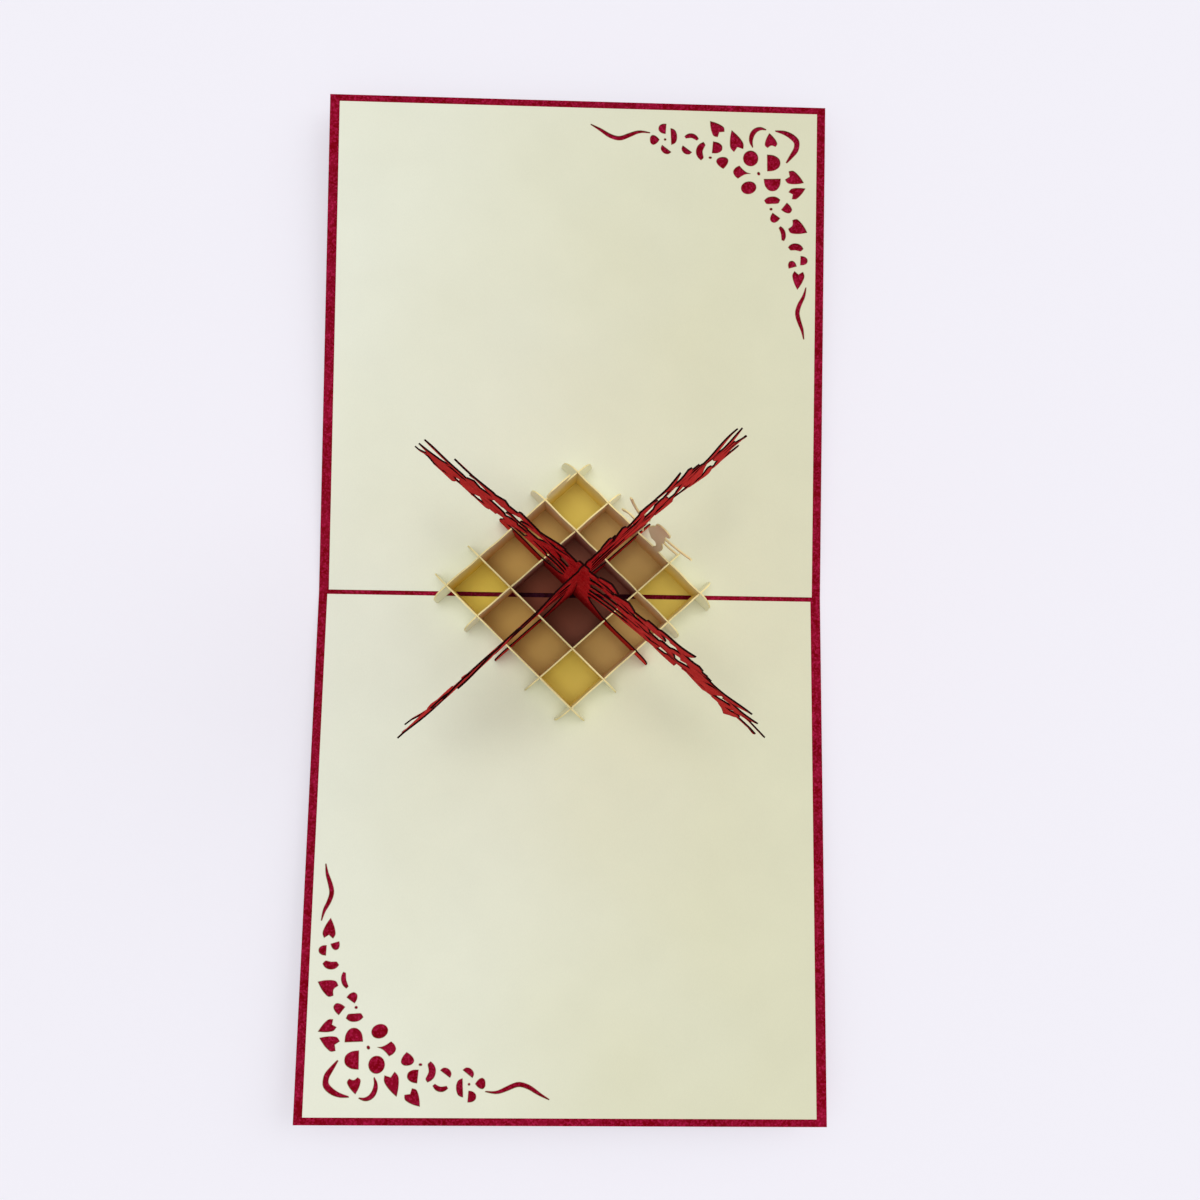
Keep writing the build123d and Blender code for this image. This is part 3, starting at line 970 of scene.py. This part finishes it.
def pearl(
    name, colour, light, *, amount, bump, gloss, painted_wash=None, far=None, cells=None, singe=0.0,
    singe_colour=None,
):
    """Pearl card: mottled lighter flecks, painted in as the ink's glints, in the colour and the roughness,
    over paper fibres; the cells' painted shade and a wash where they are named.
    """
    material, colour_socket = grained(name, colour, PEARL_FIBRES, PEARL_CLOUDS, bump, painted_wash, far)
    tree = material.node_tree
    flecks = placed(tree, "flecks", {"Scale": FLECK_SCALE, "Amount": amount})
    colour_socket = mixed(tree, flecks.outputs["Flecks"], colour_socket, opaque(light))
    if cells:
        colour_socket = cell_shaded(tree, colour_socket, cells, "MULTIPLY")
    if singe:
        colour_socket = singed(tree, colour_socket, singe, singe_colour)
    shader = tree.nodes["Principled BSDF"]
    link(tree, colour_socket, shader.inputs["Base Color"])
    link(tree, flecks.outputs["Roughness"], shader.inputs["Roughness"])
    shader.inputs["Specular IOR Level"].default_value = gloss
    return material


def floor_material(colour):
    """Matt pale floor."""
    material = bpy.data.materials.new("floor_paint")
    material.use_nodes = True
    shader = material.node_tree.nodes["Principled BSDF"]
    shader.inputs["Base Color"].default_value = opaque(colour)
    shader.inputs["Roughness"].default_value = 0.9
    shader.inputs["Specular IOR Level"].default_value = 0.0
    return material


# Stage


def floor_piece(colour):
    """Square floor under the card, at the height of the table."""
    half = FLOOR_HALF
    mesh = bpy.data.meshes.new("floor")
    corners = [(-half, -half, 0), (half, -half, 0), (half, half, 0), (-half, half, 0)]
    mesh.from_pydata(corners, [], [(0, 1, 2, 3)])
    mesh.materials.append(floor_material(colour))
    piece = bpy.data.objects.new("floor", mesh)
    bpy.context.collection.objects.link(piece)


def sky(colour, strength):
    """World: even light, and the floor's own colour where the camera or a gloss sees past the floor."""
    world = bpy.data.worlds.new("studio")
    bpy.context.scene.world = world
    world.use_nodes = True
    tree = world.node_tree
    lit = tree.nodes["Background"]
    lit.inputs["Color"].default_value = (1.0, 1.0, 1.0, 1.0)
    lit.inputs["Strength"].default_value = strength
    seen = tree.nodes.new("ShaderNodeBackground")
    seen.inputs["Color"].default_value = opaque(colour)
    seen.inputs["Strength"].default_value = 1.0
    path = tree.nodes.new("ShaderNodeLightPath")
    either = math_node(tree, "MAXIMUM", path.outputs["Is Camera Ray"], path.outputs["Is Glossy Ray"])
    any_ray = math_node(tree, "MAXIMUM", either, path.outputs["Is Transmission Ray"])
    blend = tree.nodes.new("ShaderNodeMixShader")
    link(tree, any_ray, blend.inputs[0])
    link(tree, lit.outputs[0], blend.inputs[1])
    link(tree, seen.outputs[0], blend.inputs[2])
    link(tree, blend.outputs[0], tree.nodes["World Output"].inputs["Surface"])


def soft_light(name, strength, angle, towards):
    """Light from far away that fills an angle and shines towards a direction."""
    lamp = bpy.data.lights.new(name, "SUN")
    lamp.energy = strength
    lamp.angle = angle
    piece = bpy.data.objects.new(name, lamp)
    bpy.context.collection.objects.link(piece)
    piece.rotation_euler = Vector(towards).to_track_quat("-Z", "Y").to_euler()


def camera():
    """Camera at the photograph's viewpoint."""
    data = bpy.data.cameras.new("camera")
    data.sensor_width = SENSOR
    data.lens = CAMERA_LENS
    data.clip_start, data.clip_end = CAMERA_RANGE
    piece = bpy.data.objects.new("camera", data)
    bpy.context.collection.objects.link(piece)
    piece.location = CAMERA_PLACE
    piece.rotation_euler = CAMERA_TURN
    bpy.context.scene.camera = piece


# Operators


class CARD_OT_stage(bpy.types.Operator):
    """Makes the pale floor, the soft studio light and the camera"""

    bl_idname = "card.stage"
    bl_label = "Set the stage"

    def execute(self, context):
        light = context.scene.card_light
        colour = tuple(context.scene.card_colours.floor)
        floor_piece(colour)
        sky(colour, light.sky)
        soft_light("window", light.sun, light.softness, WINDOW_TOWARDS)
        soft_light("side", light.side, SIDE_SPREAD * light.softness, SIDE_TOWARDS)
        camera()
        context.scene.view_settings.view_transform = "Standard"
        return {"FINISHED"}


class CARD_OT_cover(bpy.types.Operator):
    """Gives the folded cover its crimson pearl card"""

    bl_idname = "card.cover"
    bl_label = "Dress the cover"

    def execute(self, context):
        build_groups()
        colour = tuple(context.scene.card_colours.cover)
        # the cover's lighter flecks are painted glints, and its fold is darkened under the base as painted
        # shade
        material = pearl(
            "cover_pearl", colour, COVER_GLINT_FLECKS, amount=0.6, bump=0.25, gloss=0.01, cells=COVER_CELL_SHADE
        )
        node = NODES["cover"]
        node.data.materials.clear()
        node.data.materials.append(material)
        return {"FINISHED"}


class CARD_OT_pages(bpy.types.Operator):
    """Cuts the two cream pages with their corner ornament"""

    bl_idname = "card.pages"
    bl_label = "Cut the pages"

    def execute(self, context):
        build_groups()
        colours = context.scene.card_colours
        # the pages' cream is lighter and cooler at the left and darker and warmer at the right as painted
        # light, and tinted in the base's cells as painted shade and bounce light
        face = paper(
            "page_paper", tuple(colours.page), fibres=0.02, clouds=0.015, rough=0.6, bump=0.15,
            painted_wash="page painted light", far=tuple(colours.page_shaded_warm), cells=PAGE_CELL_SHADE,
            singe=0.8, singe_colour=PAGE_SINGE,
        )
        edge = paper("page_cut_edge", PAGE_EDGE, fibres=0.2, clouds=0.2, rough=0.8, bump=0.3)
        for node in PAGES:
            cut_sheet(node, PAGE_GRID, face, edge)
        return {"FINISHED"}


class CARD_OT_slats(bpy.types.Operator):
    """Cuts the cream slats of the base, with the couple and the bush"""

    bl_idname = "card.slats"
    bl_label = "Cut the slats"

    def execute(self, context):
        build_groups()
        colour = tuple(context.scene.card_colours.slat)
        # the slats are tinted golden, darker beside and between the red sheets and most at their foot, as
        # painted shade and bounce light in the cells
        face = paper(
            "slat_paper", colour, fibres=0.03, clouds=0.03, rough=0.6, bump=0.15, gloss=0.5,
            cells=SLAT_CELL_SHADE, singe=0.2, singe_colour=SLAT_SINGE,
        )
        edge = paper("slat_cut_edge", SLAT_EDGE, fibres=0.12, clouds=0.2, rough=0.7, bump=0.3)
        for node in SLATS:
            cut_sheet(node, SLAT_GRID, face, edge)
        return {"FINISHED"}


class CARD_OT_trees(bpy.types.Operator):
    """Cuts the two red tree sheets, with burnt edges"""

    bl_idname = "card.trees"
    bl_label = "Cut the trees"

    def execute(self, context):
        build_groups()
        colours = context.scene.card_colours
        burnt = tuple(colours.burnt)
        # the red is darker at the trunk as painted shade where the two sheets cross; the lighter flecks
        # are painted glints and highlights of lit leaves
        face = pearl(
            "tree_pearl", tuple(colours.tree), TREE_GLINT_FLECKS, amount=0.7, bump=0.2, gloss=0.0,
            painted_wash="trunk painted shade", far=tuple(colours.boughs), singe=0.9, singe_colour=burnt,
        )
        edge = paper("tree_burnt_edge", burnt, fibres=0.4, clouds=0.3, rough=0.85, bump=0.4)
        for node in TREES:
            cut_sheet(node, TREE_GRID, face, edge)
        return {"FINISHED"}


class CARD_PT_panel(bpy.types.Panel):
    """Lists the card's settings and the buttons of the steps that make its pieces"""

    bl_idname = "CARD_PT_panel"
    bl_label = "Pop-up card"
    bl_space_type = "VIEW_3D"
    bl_region_type = "UI"
    bl_category = "Card"

    def draw(self, context):
        layout = self.layout
        for settings in SETTINGS:
            group = getattr(context.scene, settings)
            for name in group.bl_rna.properties.keys():
                if name not in {"rna_type", "name"}:
                    layout.prop(group, name)
        for operator in OPERATORS:
            layout.operator(operator.bl_idname)


OPERATORS = [CARD_OT_stage, CARD_OT_cover, CARD_OT_pages, CARD_OT_slats, CARD_OT_trees]
SETTINGS = {"card_colours": CardColours, "card_cutting": CardCutting, "card_light": CardLight}


def register():
    """Adds the settings, the operators and the panel."""
    for name, group in SETTINGS.items():
        bpy.utils.register_class(group)
        setattr(bpy.types.Scene, name, PointerProperty(type=group))
    for operator in OPERATORS:
        bpy.utils.register_class(operator)
    bpy.utils.register_class(CARD_PT_panel)


def unregister():
    """Takes them away again, last one first."""
    bpy.utils.unregister_class(CARD_PT_panel)
    for operator in reversed(OPERATORS):
        bpy.utils.unregister_class(operator)
    for name, group in reversed(SETTINGS.items()):
        delattr(bpy.types.Scene, name)
        bpy.utils.unregister_class(group)


def main():
    register()
    bpy.ops.card.stage()
    bpy.ops.card.cover()
    bpy.ops.card.pages()
    bpy.ops.card.slats()
    bpy.ops.card.trees()


if __name__ == "__main__":
    main()
